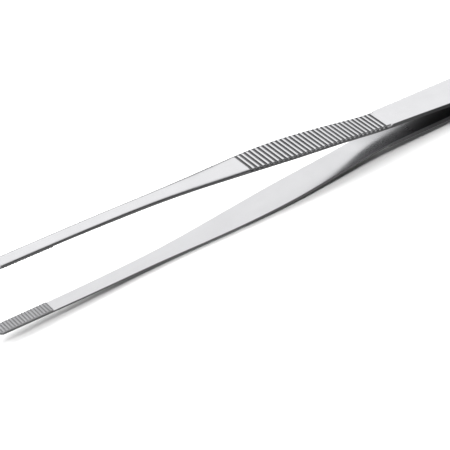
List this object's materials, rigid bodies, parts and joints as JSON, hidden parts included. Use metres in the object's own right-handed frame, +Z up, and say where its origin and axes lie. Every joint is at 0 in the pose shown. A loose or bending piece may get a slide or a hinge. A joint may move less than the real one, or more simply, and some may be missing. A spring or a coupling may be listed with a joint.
{
  "type": "precision tweezers",
  "caption": "Long all-steel spring tweezers: two slender arms welded at the heel, ribbed finger grips outside and fine cross teeth inside the rounded jaw tips.",
  "frame": {"origin": "middle of the length and width, on the table that the tweezers rest on", "axes": "+X along the length towards the welded heel, +Y across the width, +Z up from the table"},
  "size_m": [0.3006, 0.016, 0.0369],
  "materials": {
    "satin_stainless": "ground and satin polished",
    "weld_stainless": "weld seam dressed flush"
  },
  "bodies": {
    "heel": {"upper_arm_spring": "satin_stainless", "lower_arm_spring": "satin_stainless", "heel_weld": "weld_stainless"},
    "upper_arm": {"upper_arm_blade": "satin_stainless"},
    "lower_arm": {"lower_arm_blade": "satin_stainless"}
  },
  "joints": [
    {"name": "upper_arm_flex", "type": "hinge", "parent": "heel", "child": "upper_arm", "pos_m": [0.09882, 0, 0.00669], "axis": [0, -1, 0], "range_deg": [0, 3.34], "stiffness_Nm_per_rad": 12},
    {"name": "lower_arm_flex", "type": "hinge", "parent": "heel", "child": "lower_arm", "pos_m": [0.09865, 0, 0.00389], "axis": [0, 1, 0], "range_deg": [0, 3.34], "stiffness_Nm_per_rad": 12}
  ],
  "couplings": [
    {"joint": "lower_arm_flex", "follows": "upper_arm_flex", "ratio": 1}
  ]
}
